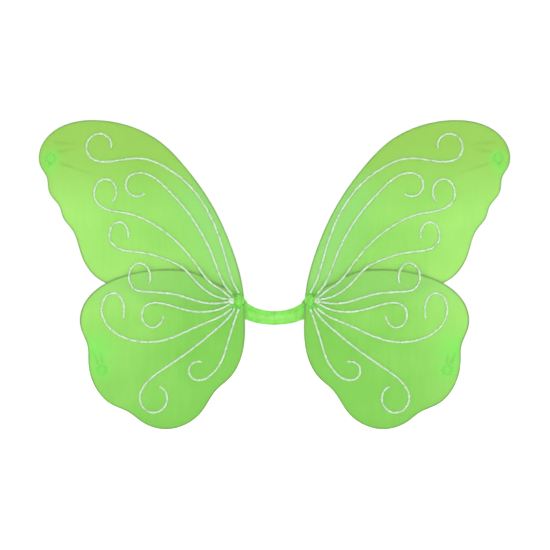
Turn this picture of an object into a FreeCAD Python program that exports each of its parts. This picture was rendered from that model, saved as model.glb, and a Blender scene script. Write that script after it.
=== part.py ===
import FreeCAD, Part

import math
import os

from FreeCAD import Vector

# Dress-up fairy wings: on each side two wire loops covered in stretched nylon, an upper and a lower
# one, decorated with nine scrolls of glitter glue.  A soft band joins the two sides, and each side
# carries an elastic loop for the wearer's arm.
#
# All lengths are millimetres.  +Z is up, +X is to the right as seen from the glitter side, and +Y
# points to the wearer's back.  Heights and depths below are measured from the point on the mirror
# plane that is level with the two wing roots and midway between the upper and the lower wire loops.
# Flat shapes are given as (u, z), where u is the distance out from the mirror plane.  Everything is
# modelled for the +X side and mirrored.  Each piece is then saved with the origin at the middle of
# the centre band's back face, where the wings rest on the wearer.

PARTS = "parts"
OUTWARD = Vector(1, 0, 0)
TO_BACK = Vector(0, 1, 0)
UP = Vector(0, 0, 1)
FIT_GAP = 0.05                    # free space between pieces that touch on the real wings

# Wire loops
WIRE_R = 0.8
LOOP_Y = 1.2                      # the upper loop lies this far behind y = 0, the lower this far in front
LOOP_OPENING = 0.001              # share of a loop's length left open at each side of the root
OUTLINE_STEPS = 96                # points that carry a loop's shape over to the nylon's edge

# Nylon covers
NYLON = 0.25                      # thickness of one layer
COVER_R = WIRE_R + FIT_GAP + NYLON
RIM_R = 0.8                       # rounding of a cover's edge
UPPER_FRONT_Y = LOOP_Y - COVER_R
UPPER_BACK_Y = LOOP_Y + COVER_R
LOWER_FRONT_Y = -LOOP_Y - COVER_R
LOWER_BACK_Y = -LOOP_Y + COVER_R

# Centrelines of the two wire loops, from the root round and back to the root, with a dent at each
# place where the wire was bent by hand.
UPPER_LOOP = [
    (32.2, 5.0), (34.3, 21.0), (42.2, 49.5), (62.0, 95.0), (96.0, 143.0), (116.5, 163.0),
    (152.5, 180.7), (182.0, 185.2), (208.5, 182.0), (229.5, 169.7), (239.0, 150.0), (237.0, 138.5),
    (231.5, 129.5), (228.3, 112.5), (218.3, 98.8), (213.8, 86.0), (207.0, 77.5), (201.6, 68.0),
    (195.6, 48.5), (181.0, 27.0), (154.5, 13.5), (127.0, -1.0), (92.0, -8.0), (56.0, -5.5),
    (41.0, 0.5),
]
LOWER_LOOP = [
    (38.0, 3.5), (47.0, 12.5), (62.0, 20.0), (79.0, 29.0), (102.0, 33.0), (128.0, 32.0),
    (156.5, 25.5), (179.5, 13.7), (194.2, -4.5), (196.2, -24.0), (189.2, -43.0), (188.3, -60.5),
    (183.2, -81.5), (166.3, -101.7), (147.7, -110.3), (134.0, -120.4), (111.0, -127.4),
    (89.0, -121.8), (75.3, -110.7), (59.6, -87.7), (46.5, -76.0), (34.7, -55.0), (31.0, -30.0),
    (31.3, -12.0), (31.8, -4.0), (33.6, 1.2),
]

# Root of a wing: a nylon knot that hides the wire ends, the lashing inside it, and a dab of glitter
KNOT_AT = (36.4, -0.6, 2.5)
KNOT_R = (5.9, 4.2, 6.0)
LASHING_U = 36.4
LASHING_LENGTH = 2.4
LASHING_Y = -0.3
LASHING_HALF_Y = 3.2
LASHING_HALF_Z = 4.0
LASHING_WALL = 0.5
ROOT_GLITTER_AT = (43.6, 2.2)
ROOT_GLITTER_R = 3.6
ROOT_GLITTER_HEIGHT = 1.7

# Stem: the upper wire's end, bent back and down behind the root and wrapped in tape.  The centre
# elastic and the arm loop both turn on it.
STEM_U = 28.5
STEM_Y = 5.5
BEND_AT = (30.2, 3.5, 2.2)        # where the wire passes on its way from the stem to the loop
TAPE_R = 1.4
TAPE_TOP = -0.9
TAPE_BOTTOM = -15.7
CAP_R = 2.2
CAP_LENGTH = 1.6
EYE_R = TAPE_R + FIT_GAP          # bore of everything that turns on the stem

# Centre band: an elastic tape with a sewn eye at each end, inside a nylon sleeve
BAND_MIDDLE_Z = -15.5             # height of the band where it hangs lowest
BAND_SAG = 6.5                    # how far that is below its ends
BAND_HALF_LENGTH = 29.5           # from the middle to the wings' inner edges
BAND_STEPS = 4                    # points that shape each half of the sag
ELASTIC_WIDTH = 7.0
ELASTIC_THICK = 1.0
ELASTIC_HALF_LENGTH = STEM_U - EYE_R - ELASTIC_THICK / 2
BAND_EYE_Z = -8.6
BAND_EYE_WIDTH = 8.0
SLEEVE_HALF_LENGTH = 24.5
SLEEVE_WIDTH = 13.0
SLEEVE_FLARE = 2.5                # how much wider the sleeve's ends are
SLEEVE_FRONT_Y = 4.2
SLEEVE_BACK_Y = 8.0
SLOT_GAP = 0.15                   # free space round the elastic in its sleeve
STITCH_R = 0.35
STITCH_COUNT = 5
STITCH_PITCH = 2.4
STITCH_LENGTH = 1.7
STITCH_INSET = 2.5
STITCH_Y = SLEEVE_BACK_Y - STITCH_R - FIT_GAP
REST_POINT = Vector(0, SLEEVE_BACK_Y, BAND_MIDDLE_Z)

# Arm loop: round elastic cord in the plane of the stem, from the upper eye out and back to the lower
CORD_R = 1.5
LOOP_EYE_R = 0.9                  # half the thickness of the cord where it is sewn into an eye
LOOP_TOP_Z = -2.4
LOOP_BOTTOM_Z = -14.6
ARM_LOOP = [
    (36.0, LOOP_TOP_Z), (49.0, 5.5), (63.0, 25.0), (88.0, 36.0), (112.0, 23.0), (121.0, -8.5),
    (112.0, -40.0), (88.0, -53.0), (63.0, -42.0), (49.0, -22.5), (36.0, LOOP_BOTTOM_Z),
]
WHIPPING_LENGTH = 3.0
WHIPPING_WALL = 0.5

# Tails: the gathered end of each nylon cover, tied off on the back of the wing
UPPER_TAIL_AT = (227.8, 147.1)
LOWER_TAIL_AT = (175.6, -68.0)
TAIL_NECK_R = 1.8
TAIL_NECK_LENGTH = 2.6
TAIL_HEAD_R = 3.6
TAIL_LENGTH = 6.5
TIE_R = 0.5
TIE_TURNS = 2

# Glitter scrolls: beads of dried glitter glue on the front of the nylon
BEAD_WIDTH = 2.3
BEAD_HEIGHT = 0.9
BEAD_GAP = 0.03                   # free space between a bead and the nylon under it
BEAD_RAMP = 6.0                   # length over which a bead steps down past the lower wing's edge
BEAD_RUN_OFF = 1.6                # how far past that edge it starts to step down
BEAD_STEP = 2.5                   # spacing of the points that shape a bead's path
CURL_STEP = 40.0                  # degrees between the points that shape a curl
CURL_TIGHTENING = 3               # power by which a curl shrinks towards its end

# Each scroll is a stem from the root outwards, then a curl: the centre of an ellipse, its two radii,
# the start angle, the turn, and the share of its size that is left at the end.
SCROLLS = [
    ([(36.2, 10.0), (45.0, 28.6), (50.0, 46.0), (59.0, 74.0), (72.0, 100.5), (91.0, 123.5),
      (111.0, 138.0), (131.0, 146.3), (156.0, 145.5)],
     (177.0, 158.6), (14.5, 14.6), -90, 275, 0.72),
    ([(43.0, 9.2), (49.0, 15.8), (57.0, 31.5), (64.0, 50.0), (74.0, 70.5), (90.0, 94.5),
      (107.5, 114.0), (122.0, 127.0)],
     (138.9, 119.7), (12.6, 12.6), 90, -219, 0.81),
    ([(45.2, 5.8), (54.0, 13.0), (67.0, 22.5), (75.0, 32.5), (89.0, 51.0), (106.0, 68.0),
      (124.0, 80.5), (146.5, 90.3), (165.0, 93.7)],
     (171.8, 111.8), (11.8, 14.5), -60, 285, 0.85),
    ([(47.1, 3.9), (57.0, 5.8), (67.0, 10.8), (81.0, 23.0), (92.0, 34.8), (105.0, 42.0),
      (122.0, 48.3), (142.0, 52.0)],
     (158.1, 69.3), (9.9, 13.2), -65, 260, 0.93),
    ([(47.3, 1.0), (57.0, -0.4), (68.0, -0.2), (82.0, 3.0), (98.0, 8.0), (113.0, 10.3),
      (129.0, 11.4)],
     (137.2, 26.5), (10.6, 13.9), -60, 267, 1.05),
    ([(45.8, -1.2), (57.0, -6.6), (71.0, -9.0), (86.0, -8.0), (103.0, -3.2), (114.0, -0.5)],
     (123.9, -12.4), (10.7, 12.5), 90, -266, 1.0),
    ([(43.3, -5.4), (52.0, -12.0), (64.0, -17.8), (82.0, -25.3), (101.0, -34.0), (124.0, -39.6),
      (146.0, -37.5), (160.5, -31.0)],
     (164.5, -7.0), (11.1, 16.9), -45, 253, 1.08),
    ([(40.3, -5.6), (46.6, -14.6), (61.8, -29.0), (86.0, -48.5), (112.0, -66.6)],
     (122.3, -96.0), (14.6, 15.7), 40, -283, 0.80),
    ([(36.4, -6.0), (41.5, -21.0), (47.2, -39.2), (52.6, -56.0), (60.0, -68.5)],
     (77.5, -69.0), (9.6, 9.5), -100, 210, 1.0),
]


def at(point, y):
    """A (u, z) point placed at depth y."""
    return Vector(point[0], y, point[1])


def smooth_loop(vectors):
    """A smooth closed curve through vectors."""
    curve = Part.BSplineCurve()
    curve.interpolate(Points=vectors, PeriodicFlag=True)
    return curve


def smooth_line(vectors, start_along=None, end_along=None):
    """A smooth open curve through vectors, with given directions at its ends."""
    curve = Part.BSplineCurve()
    if start_along is None:
        curve.interpolate(Points=vectors)
    else:
        curve.interpolate(Points=vectors, InitialTangent=start_along, FinalTangent=end_along)
    return curve.toShape()


def sweep(path, profile, upright=None):
    """A solid swept along path, a wire; with upright given, that side of the profile never turns."""
    shell = Part.BRepOffsetAPI.MakePipeShell(path)
    if upright is not None:
        shell.setBiNormalMode(upright)
    shell.add(profile)
    shell.build()
    shell.makeSolid()
    return shell.shape()


def cord(path, radius):
    """A round solid swept along path, a wire."""
    first = path.Edges[0]
    start = first.valueAt(first.FirstParameter)
    along = first.tangentAt(first.FirstParameter)
    return sweep(path, Part.Wire(Part.makeCircle(radius, start, along)))


def tube(outer_r, inner_r, base, axis, length):
    """A straight round tube."""
    outer = Part.makeCylinder(outer_r, length, base, axis)
    return outer.cut(Part.makeCylinder(inner_r, length, base, axis))


def ellipsoid(centre, radii, grow=0.0):
    """An upright ellipsoid, with its radii enlarged by grow."""
    matrix = FreeCAD.Matrix()
    matrix.scale(*[r + grow for r in radii])
    ball = Part.makeSphere(1.0).transformGeometry(matrix)
    ball.translate(Vector(*centre))
    return ball


def ring(centre, axis, bore_r, thread_r):
    """A round ring whose hole has radius bore_r."""
    return Part.makeTorus(bore_r + thread_r, thread_r, centre, axis)


def outline(points, y, offset):
    """The closed edge that runs outside the smooth loop through points, at a distance of offset."""
    curve = smooth_loop([at(p, y) for p in points])
    first, last = curve.FirstParameter, curve.LastParameter
    moved = []
    for step in range(OUTLINE_STEPS):
        here = first + (last - first) * step / OUTLINE_STEPS
        outward = curve.tangent(here)[0].cross(TO_BACK)
        outward.normalize()
        moved.append(curve.value(here) + outward * offset)
    return Part.Wire(smooth_loop(moved).toShape())


def slab(points, y, offset, round_r):
    """A flat plate round the wire loop through points, offset thick on each side, with round edges."""
    face = Part.Face(outline(points, y - offset, offset))
    plate = face.extrude(TO_BACK * (2 * offset))
    rims = [edge for edge in plate.Edges if abs(edge.BoundBox.YMax - edge.BoundBox.YMin) < round_r]
    return plate.makeFillet(round_r, rims)


def knot_body(grow=0.0):
    """The outside of the root knot."""
    return ellipsoid(KNOT_AT, KNOT_R, grow)


def open_loop(points, y):
    """A wire loop's centreline, from just past the root to just before it."""
    curve = smooth_loop([at(p, y) for p in points])
    first, last = curve.FirstParameter, curve.LastParameter
    gap = LOOP_OPENING * (last - first)
    return curve.toShape(first + gap, last - gap)


def stem_edges():
    """Centreline of the upper wire's end: up the stem, then forward to where the loop starts."""
    loop = open_loop(UPPER_LOOP, LOOP_Y)
    start = loop.valueAt(loop.FirstParameter)
    bottom = Vector(STEM_U, STEM_Y, TAPE_BOTTOM - CAP_LENGTH / 2)
    top = Vector(STEM_U, STEM_Y, TAPE_TOP)
    bend = smooth_line([top, Vector(*BEND_AT), start], UP, loop.tangentAt(loop.FirstParameter))
    return [Part.makeLine(bottom, top), bend]


def upper_wire(radius=WIRE_R):
    return cord(Part.Wire(stem_edges() + [open_loop(UPPER_LOOP, LOOP_Y)]), radius)


def lower_wire(radius=WIRE_R):
    return cord(Part.Wire(open_loop(LOWER_LOOP, -LOOP_Y)), radius)


def cover(points, y):
    """A flat nylon bag round a wire loop, open where it goes into the root knot."""
    outside = slab(points, y, COVER_R, RIM_R)
    inside = slab(points, y, COVER_R - NYLON, RIM_R - NYLON)
    return outside.cut(inside).cut(knot_body(FIT_GAP))


def upper_nylon():
    """The upper cover, with the hole through which the stem's wire leaves it."""
    return cover(UPPER_LOOP, LOOP_Y).cut(cord(Part.Wire(stem_edges()), WIRE_R + 2 * FIT_GAP))


def lower_nylon():
    return cover(LOWER_LOOP, -LOOP_Y)


def lashing_body(thinner=0.0):
    """The outside of the oval sleeve that holds the wire ends together, thinned all round."""
    matrix = FreeCAD.Matrix()
    matrix.scale(1.0, LASHING_HALF_Y - thinner, LASHING_HALF_Z - thinner)
    body = Part.makeCylinder(1.0, LASHING_LENGTH, Vector(0, 0, 0), OUTWARD).transformGeometry(matrix)
    body.translate(Vector(LASHING_U, LASHING_Y, KNOT_AT[2]))
    return body


def root_lashing():
    """The oval sleeve, dented where the lower wire presses into it."""
    return lashing_body().cut(lashing_body(LASHING_WALL)).cut(lower_wire(WIRE_R + FIT_GAP))


def root_knot():
    """The nylon knot, with room inside for the lashing and the wire ends."""
    knot = knot_body()
    for inner in (lashing_body(-FIT_GAP), upper_wire(WIRE_R + FIT_GAP), lower_wire(WIRE_R + FIT_GAP)):
        knot = knot.cut(inner)
    return max(knot.Solids, key=lambda solid: solid.Volume)


def root_glitter():
    """A dab of glitter glue where the scrolls meet, flat on the lower cover and against the knot."""
    skin_y = LOWER_FRONT_Y - BEAD_GAP
    centre = (ROOT_GLITTER_AT[0], skin_y, ROOT_GLITTER_AT[1])
    dab = ellipsoid(centre, (ROOT_GLITTER_R, ROOT_GLITTER_HEIGHT, ROOT_GLITTER_R))
    side = 4 * ROOT_GLITTER_R
    corner = Vector(centre[0] - side / 2, skin_y - side, centre[2] - side / 2)
    return dab.common(Part.makeBox(side, side, side, corner)).cut(knot_body(FIT_GAP))


def stem_tape():
    base = Vector(STEM_U, STEM_Y, TAPE_BOTTOM)
    return tube(TAPE_R, WIRE_R + FIT_GAP, base, UP, TAPE_TOP - TAPE_BOTTOM)


def stem_cap():
    """A bead of glue on the stem's lower end, which keeps the elastic on it."""
    base = Vector(STEM_U, STEM_Y, TAPE_BOTTOM - CAP_LENGTH - FIT_GAP)
    cap = Part.makeCylinder(CAP_R, CAP_LENGTH, base, UP)
    cap = cap.makeFillet(CAP_R / 3, cap.Edges)
    hole_base = base + UP * (CAP_LENGTH / 2 - FIT_GAP)
    return cap.cut(Part.makeCylinder(WIRE_R + FIT_GAP, CAP_LENGTH, hole_base, UP))


def tail(place, skin_y):
    """The gathered end of a cover: a narrow neck that the tie holds, then a flared head."""
    profile = [
        Part.makeLine(Vector(0, 0, 0), Vector(TAIL_NECK_R, 0, 0)),
        Part.makeLine(Vector(TAIL_NECK_R, 0, 0), Vector(TAIL_NECK_R, TAIL_NECK_LENGTH, 0)),
        Part.Arc(Vector(TAIL_NECK_R, TAIL_NECK_LENGTH, 0),
                 Vector(TAIL_HEAD_R, TAIL_LENGTH * 0.75, 0),
                 Vector(TAIL_NECK_R, TAIL_LENGTH, 0)).toShape(),
        Part.makeLine(Vector(TAIL_NECK_R, TAIL_LENGTH, 0), Vector(0, TAIL_LENGTH, 0)),
        Part.makeLine(Vector(0, TAIL_LENGTH, 0), Vector(0, 0, 0)),
    ]
    body = Part.Face(Part.Wire(profile)).revolve(Vector(0, 0, 0), TO_BACK, 360)
    body.translate(at(place, skin_y + FIT_GAP))
    return body


def tie(place, skin_y):
    """Turns of thread round a tail's neck."""
    turns = []
    for turn in range(TIE_TURNS):
        centre = at(place, skin_y + FIT_GAP + (TIE_R + FIT_GAP) * (2 * turn + 1))
        turns.append(ring(centre, TO_BACK, TAIL_NECK_R + FIT_GAP, TIE_R))
    return Part.makeCompound(turns)


def on_curl(centre, radii, start, turn, left, share):
    """The (u, z) point a given share of the way along a curl."""
    angle = math.radians(start + turn * share)
    size = 1 - (1 - left) * share ** CURL_TIGHTENING
    return (centre[0] + radii[0] * size * math.cos(angle), centre[1] + radii[1] * size * math.sin(angle))


def depth_on_wing(point, lower_face, lower_edge):
    """Depth of the front skin under a scroll: the lower wing's, or the upper wing's outside it."""
    spot = at(point, 0)
    if lower_face.isInside(spot, FIT_GAP, True):
        return LOWER_FRONT_Y
    clear = Part.Vertex(spot).distToShape(lower_edge)[0] - BEAD_RUN_OFF
    share = min(max(clear / BEAD_RAMP, 0.0), 1.0)
    eased = share * share * (3 - 2 * share)
    return LOWER_FRONT_Y + (UPPER_FRONT_Y - LOWER_FRONT_Y) * eased


def scroll(stem, centre, radii, start, turn, left):
    """A bead of glitter glue along a stem and its curl, lying on whichever wing is under it."""
    curl_points = int(abs(turn) / CURL_STEP) + 1
    flat = list(stem)
    for step in range(curl_points + 1):
        flat.append(on_curl(centre, radii, start, turn, left, step / curl_points))
    line = smooth_line([at(p, 0) for p in flat])
    lower_edge = outline(LOWER_LOOP, 0, COVER_R)
    lower_face = Part.Face(lower_edge)
    steps = int(line.Length / BEAD_STEP)
    path = []
    for spot in line.discretize(steps):
        skin = depth_on_wing((spot.x, spot.z), lower_face, lower_edge)
        path.append(Vector(spot.x, skin - BEAD_GAP, spot.z))
    spine = Part.Wire(smooth_line(path))
    along = spine.Edges[0].tangentAt(spine.Edges[0].FirstParameter)
    half = along.cross(TO_BACK)
    half.normalize()
    half = half * (BEAD_WIDTH / 2)
    low, top, high = path[0] - half, path[0] - TO_BACK * BEAD_HEIGHT, path[0] + half
    dome = Part.Wire([Part.Arc(low, top, high).toShape(), Part.makeLine(high, low)])
    return sweep(spine, dome, TO_BACK)


def arm_loop():
    """Elastic cord in a wide loop, both ends sewn into eyes that turn on the stem."""
    start_u = STEM_U + EYE_R + LOOP_EYE_R
    top = smooth_line([at(p, STEM_Y) for p in ARM_LOOP], OUTWARD, -OUTWARD)
    path = Part.Wire([
        Part.makeLine(at((start_u, LOOP_TOP_Z), STEM_Y), at(ARM_LOOP[0], STEM_Y)),
        top,
        Part.makeLine(at(ARM_LOOP[-1], STEM_Y), at((start_u, LOOP_BOTTOM_Z), STEM_Y)),
    ])
    body = cord(path, CORD_R)
    for z in (LOOP_TOP_Z, LOOP_BOTTOM_Z):
        body = body.fuse(ring(Vector(STEM_U, STEM_Y, z), UP, EYE_R, LOOP_EYE_R))
    return body


def loop_whipping():
    """Thread wound round the cord beside each eye."""
    wraps = []
    for z in (LOOP_TOP_Z, LOOP_BOTTOM_Z):
        base = Vector(ARM_LOOP[0][0] - WHIPPING_LENGTH, STEM_Y, z)
        wraps.append(tube(CORD_R + WHIPPING_WALL, CORD_R + FIT_GAP, base, OUTWARD, WHIPPING_LENGTH))
    return Part.makeCompound(wraps)


def sagging_z(x, span):
    """Height of the middle line of a piece that sags between -span and span."""
    return BAND_MIDDLE_Z + BAND_SAG * (x / span) ** 2


def band_plate(half_length, span, width, flare, front_y, back_y):
    """A sagging plate, flare wider at its ends than in the middle."""
    edges = []
    for side in (1, -1):
        points = []
        for step in range(-BAND_STEPS, BAND_STEPS + 1):
            share = step / BAND_STEPS
            half = side * (width + flare * share * share) / 2
            x = half_length * share
            points.append(Vector(x, front_y, sagging_z(x, span) + half))
        edges.append(points)
    upper, lower = edges
    border = Part.Wire([
        smooth_line(upper), Part.makeLine(upper[-1], lower[-1]),
        smooth_line(lower[::-1]), Part.makeLine(lower[0], upper[0]),
    ])
    return Part.Face(border).extrude(TO_BACK * (back_y - front_y))


def centre_elastic():
    half = ELASTIC_THICK / 2
    body = band_plate(ELASTIC_HALF_LENGTH, ELASTIC_HALF_LENGTH, ELASTIC_WIDTH, 0.0,
                      STEM_Y - half, STEM_Y + half)
    for side in (1, -1):
        base = Vector(side * STEM_U, STEM_Y, BAND_EYE_Z - BAND_EYE_WIDTH / 2)
        body = body.fuse(tube(EYE_R + ELASTIC_THICK, EYE_R, base, UP, BAND_EYE_WIDTH))
    return body


def stitches(radius, longer):
    """Short upright stitches in a row across each end of the sleeve, sunk into its back."""
    rows = []
    length = STITCH_LENGTH + 2 * longer
    for side in (1, -1):
        x = side * (SLEEVE_HALF_LENGTH - STITCH_INSET)
        for row in range(STITCH_COUNT):
            middle = sagging_z(x, BAND_HALF_LENGTH) + STITCH_PITCH * (row - (STITCH_COUNT - 1) / 2)
            rows.append(Part.makeCylinder(radius, length, Vector(x, STITCH_Y, middle - length / 2), UP))
    return rows


def centre_sleeve():
    """The nylon sleeve, with a slot for the elastic and a groove for each stitch."""
    slot_half = ELASTIC_THICK / 2 + SLOT_GAP
    slot = band_plate(ELASTIC_HALF_LENGTH, ELASTIC_HALF_LENGTH, ELASTIC_WIDTH + 2 * SLOT_GAP, 0.0,
                      STEM_Y - slot_half, STEM_Y + slot_half)
    body = band_plate(SLEEVE_HALF_LENGTH, BAND_HALF_LENGTH, SLEEVE_WIDTH, SLEEVE_FLARE,
                      SLEEVE_FRONT_Y, SLEEVE_BACK_Y)
    for groove in stitches(STITCH_R + 2 * FIT_GAP, FIT_GAP):
        body = body.cut(groove)
    return body.cut(slot)


def centre_stitches():
    return Part.makeCompound(stitches(STITCH_R, 0.0))


def wing_parts():
    """Every piece of the +X side, by name."""
    parts = {
        "upper_wire": upper_wire(),
        "lower_wire": lower_wire(),
        "upper_nylon": upper_nylon(),
        "lower_nylon": lower_nylon(),
        "upper_tail": tail(UPPER_TAIL_AT, UPPER_BACK_Y),
        "lower_tail": tail(LOWER_TAIL_AT, LOWER_BACK_Y),
        "upper_tie": tie(UPPER_TAIL_AT, UPPER_BACK_Y),
        "lower_tie": tie(LOWER_TAIL_AT, LOWER_BACK_Y),
        "root_knot": root_knot(),
        "root_lashing": root_lashing(),
        "root_glitter": root_glitter(),
        "stem_tape": stem_tape(),
        "stem_cap": stem_cap(),
        "arm_loop": arm_loop(),
        "loop_whipping": loop_whipping(),
    }
    for number, shape in enumerate(SCROLLS, start=1):
        parts["scroll_%d" % number] = scroll(*shape)
    return parts


def save(name, shape):
    """Write one piece, measured from the band's rest point."""
    shape.translate(-REST_POINT)
    shape.exportStep(os.path.join(PARTS, name + ".step"))


def main():
    os.makedirs(PARTS, exist_ok=True)
    save("centre_elastic", centre_elastic())
    save("centre_sleeve", centre_sleeve())
    save("centre_stitches", centre_stitches())
    for name, shape in wing_parts().items():
        save("left_" + name, shape.mirror(Vector(0, 0, 0), OUTWARD))
        save("right_" + name, shape)


main()
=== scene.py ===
"""Dress-up fairy wings: nylon, wire, glitter glue, thread and elastic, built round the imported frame.

Everything is in metres in the frame's own axes: +X to the right as seen from the glitter side, +Y
towards the wearer's back, +Z up.  Each piece is shaped for the +X side from the "right_" nodes and
mirrored for the -X side.
"""

import math

import bpy
import numpy as np
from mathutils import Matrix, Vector


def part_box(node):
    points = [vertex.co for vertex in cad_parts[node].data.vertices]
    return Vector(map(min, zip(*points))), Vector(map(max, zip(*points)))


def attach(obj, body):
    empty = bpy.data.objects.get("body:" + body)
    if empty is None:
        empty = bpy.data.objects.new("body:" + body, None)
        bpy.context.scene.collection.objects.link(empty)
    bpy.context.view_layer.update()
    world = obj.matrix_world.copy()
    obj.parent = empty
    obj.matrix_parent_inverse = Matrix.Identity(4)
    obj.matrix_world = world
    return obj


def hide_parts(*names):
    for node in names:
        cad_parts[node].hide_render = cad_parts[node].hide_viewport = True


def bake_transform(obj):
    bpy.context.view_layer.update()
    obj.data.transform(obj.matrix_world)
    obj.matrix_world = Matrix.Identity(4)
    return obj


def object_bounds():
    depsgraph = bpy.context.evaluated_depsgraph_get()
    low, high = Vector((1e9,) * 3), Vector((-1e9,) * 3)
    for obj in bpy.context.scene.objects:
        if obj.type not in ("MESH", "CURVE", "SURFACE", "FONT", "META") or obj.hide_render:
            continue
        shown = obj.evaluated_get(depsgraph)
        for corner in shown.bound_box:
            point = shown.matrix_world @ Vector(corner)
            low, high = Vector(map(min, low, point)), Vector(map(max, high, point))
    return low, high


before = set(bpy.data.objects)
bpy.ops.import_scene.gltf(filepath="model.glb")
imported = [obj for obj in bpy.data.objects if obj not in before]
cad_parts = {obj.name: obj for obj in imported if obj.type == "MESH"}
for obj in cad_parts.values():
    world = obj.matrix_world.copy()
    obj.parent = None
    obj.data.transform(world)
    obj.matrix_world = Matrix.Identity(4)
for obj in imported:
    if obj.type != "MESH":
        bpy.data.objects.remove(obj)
cad_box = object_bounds()

MM = 0.001
SIDES = {"right": 1, "left": -1}
X, Y, Z = 0, 1, 2
SEED = 7

# ---- measures taken from the frame


def points_of(node):
    """A CAD node's vertices as an array."""
    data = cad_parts[node].data
    numbers = np.empty(len(data.vertices) * 3)
    data.vertices.foreach_get("co", numbers)
    return numbers.reshape(-1, 3)


def box_of(node):
    low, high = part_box(node)
    return np.array(low), np.array(high)


def middle_of(node):
    low, high = box_of(node)
    return (low + high) / 2


def half_of(node):
    """Half of a node's box along each axis."""
    low, high = box_of(node)
    return (high - low) / 2


def flat(point):
    """The (x, z) part of a point or of an array of points."""
    return np.asarray(point)[..., [X, Z]]


KNOT = middle_of("right_root_knot")
KNOT_R = half_of("right_root_knot")
UPPER_TAIL = middle_of("right_upper_tail")
LOWER_TAIL = middle_of("right_lower_tail")
STEM = middle_of("right_stem_tape")
TAPE_R = half_of("right_stem_tape")[X]
SLEEVE_LOW, SLEEVE_HIGH = box_of("centre_sleeve")


# ---- mesh helpers


def smoothstep(value):
    share = np.clip(value, 0.0, 1.0)
    return share * share * (3 - 2 * share)


def lengths(vectors):
    return np.linalg.norm(vectors, axis=1)


def grid_faces(rows, columns, close_rows=False, close_columns=False):
    """Quads of a grid whose point (r, c) has the number r * columns + c."""
    row = np.arange(rows if close_rows else rows - 1)
    column = np.arange(columns if close_columns else columns - 1)
    r, c = np.meshgrid(row, column, indexing="ij")
    r2, c2 = (r + 1) % rows, (c + 1) % columns
    corners = (r * columns + c, r * columns + c2, r2 * columns + c2, r2 * columns + c)
    return np.stack(corners, axis=-1).reshape(-1, 4).tolist()


def tube_faces(rows, columns):
    """Quads of a grid that is closed round its columns, and a face over each of its ends."""
    faces = grid_faces(rows, columns, close_columns=True)
    faces.append(list(range(columns))[::-1])
    faces.append([(rows - 1) * columns + corner for corner in range(columns)])
    return faces


def turned(faces):
    """The same faces, looking the other way."""
    return [face[::-1] for face in faces]


def join_shapes(shapes):
    """Several (points, faces) shapes as one."""
    all_points, all_faces, start = [], [], 0
    for points, faces in shapes:
        all_points.append(points)
        all_faces.extend([[start + corner for corner in face] for face in faces])
        start += len(points)
    return np.concatenate(all_points), all_faces


def new_object(name, data):
    """An object in the scene for a mesh, a light or a camera."""
    made = bpy.data.objects.new(name, data)
    bpy.context.scene.collection.objects.link(made)
    return made


def add_piece(name, shape, material, sign, values=None):
    """A mesh object from (points, faces), mirrored if sign is -1, with named values at its points."""
    points, faces = shape
    if sign < 0:
        points, faces = points * np.array([-1, 1, 1]), turned(faces)
    mesh = bpy.data.meshes.new(name)
    mesh.from_pydata(points.tolist(), [], faces)
    mesh.polygons.foreach_set("use_smooth", [True] * len(faces))
    for label, numbers in (values or {}).items():
        layer = mesh.attributes.new(label, "FLOAT", "POINT")
        layer.data.foreach_set("value", np.asarray(numbers, np.float32))
    mesh.materials.append(material)
    mesh.update()
    piece = new_object(name, mesh)
    return piece


def add_pair(name, shape, material, node, body="wing", values=None):
    """A piece on each side.  It takes the place of that side's node, if any, and moves with its body."""
    for side, sign in SIDES.items():
        piece = add_piece(f"{side}_{name}", shape, material, sign, values)
        if node:
            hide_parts(f"{side}_{node}")
        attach(piece, f"{side}_{body}")


def spline(points, steps):
    """A smooth line through points: a Catmull-Rom curve with steps points for each stretch."""
    points = np.asarray(points, float)
    first = 2 * points[0] - points[1]
    last = 2 * points[-1] - points[-2]
    padded = np.vstack([first, points, last])
    line = []
    for before, start, end, after in zip(padded, padded[1:], padded[2:], padded[3:]):
        for share in np.arange(steps) / steps:
            line.append(0.5 * (2 * start + (end - before) * share
                               + (2 * before - 5 * start + 4 * end - after) * share ** 2
                               + (3 * start - before - 3 * end + after) * share ** 3))
    line.append(points[-1])
    return np.array(line)


def resample(line, steps, count):
    """count points on a line, evenly spaced if each of its stretches is as long as steps says."""
    along = np.concatenate([[0], np.cumsum(steps)])
    wanted = np.linspace(0, along[-1], count)
    return np.stack([np.interp(wanted, along, column) for column in line.T], axis=1)


def even_line(line, spacing):
    """The same line with its points evenly spaced."""
    steps = lengths(np.diff(line, axis=0))
    return resample(line, steps, int(round(steps.sum() / spacing)) + 1)


def full_turn(count):
    """Evenly spaced angles round a circle."""
    return np.arange(count) * 2 * math.pi / count


def frames_along(line):
    """Two directions across a line at each of its points, with as little twist as possible."""
    tangent = np.gradient(line, axis=0)
    tangent /= lengths(tangent)[:, None]
    start = np.cross(tangent[0], [0.13, 0.97, 0.21])
    normal = [start / np.linalg.norm(start)]
    for along in tangent[1:]:
        carried = normal[-1] - along * np.dot(normal[-1], along)
        normal.append(carried / np.linalg.norm(carried))
    normal = np.array(normal)
    return normal, np.cross(tangent, normal)


def rings(first, second, turn):
    """For each point, the directions at the angles of turn, from its first direction to its second."""
    turn = turn[None, :, None]
    return first[:, None] * np.cos(turn) + second[:, None] * np.sin(turn)


def tube(line, radius, sides):
    """A round tube along an open line, with both ends closed."""
    points = line[:, None] + rings(*frames_along(line), full_turn(sides)) * radius
    return points.reshape(-1, 3), tube_faces(len(line), sides)


# ---- material helpers


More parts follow.
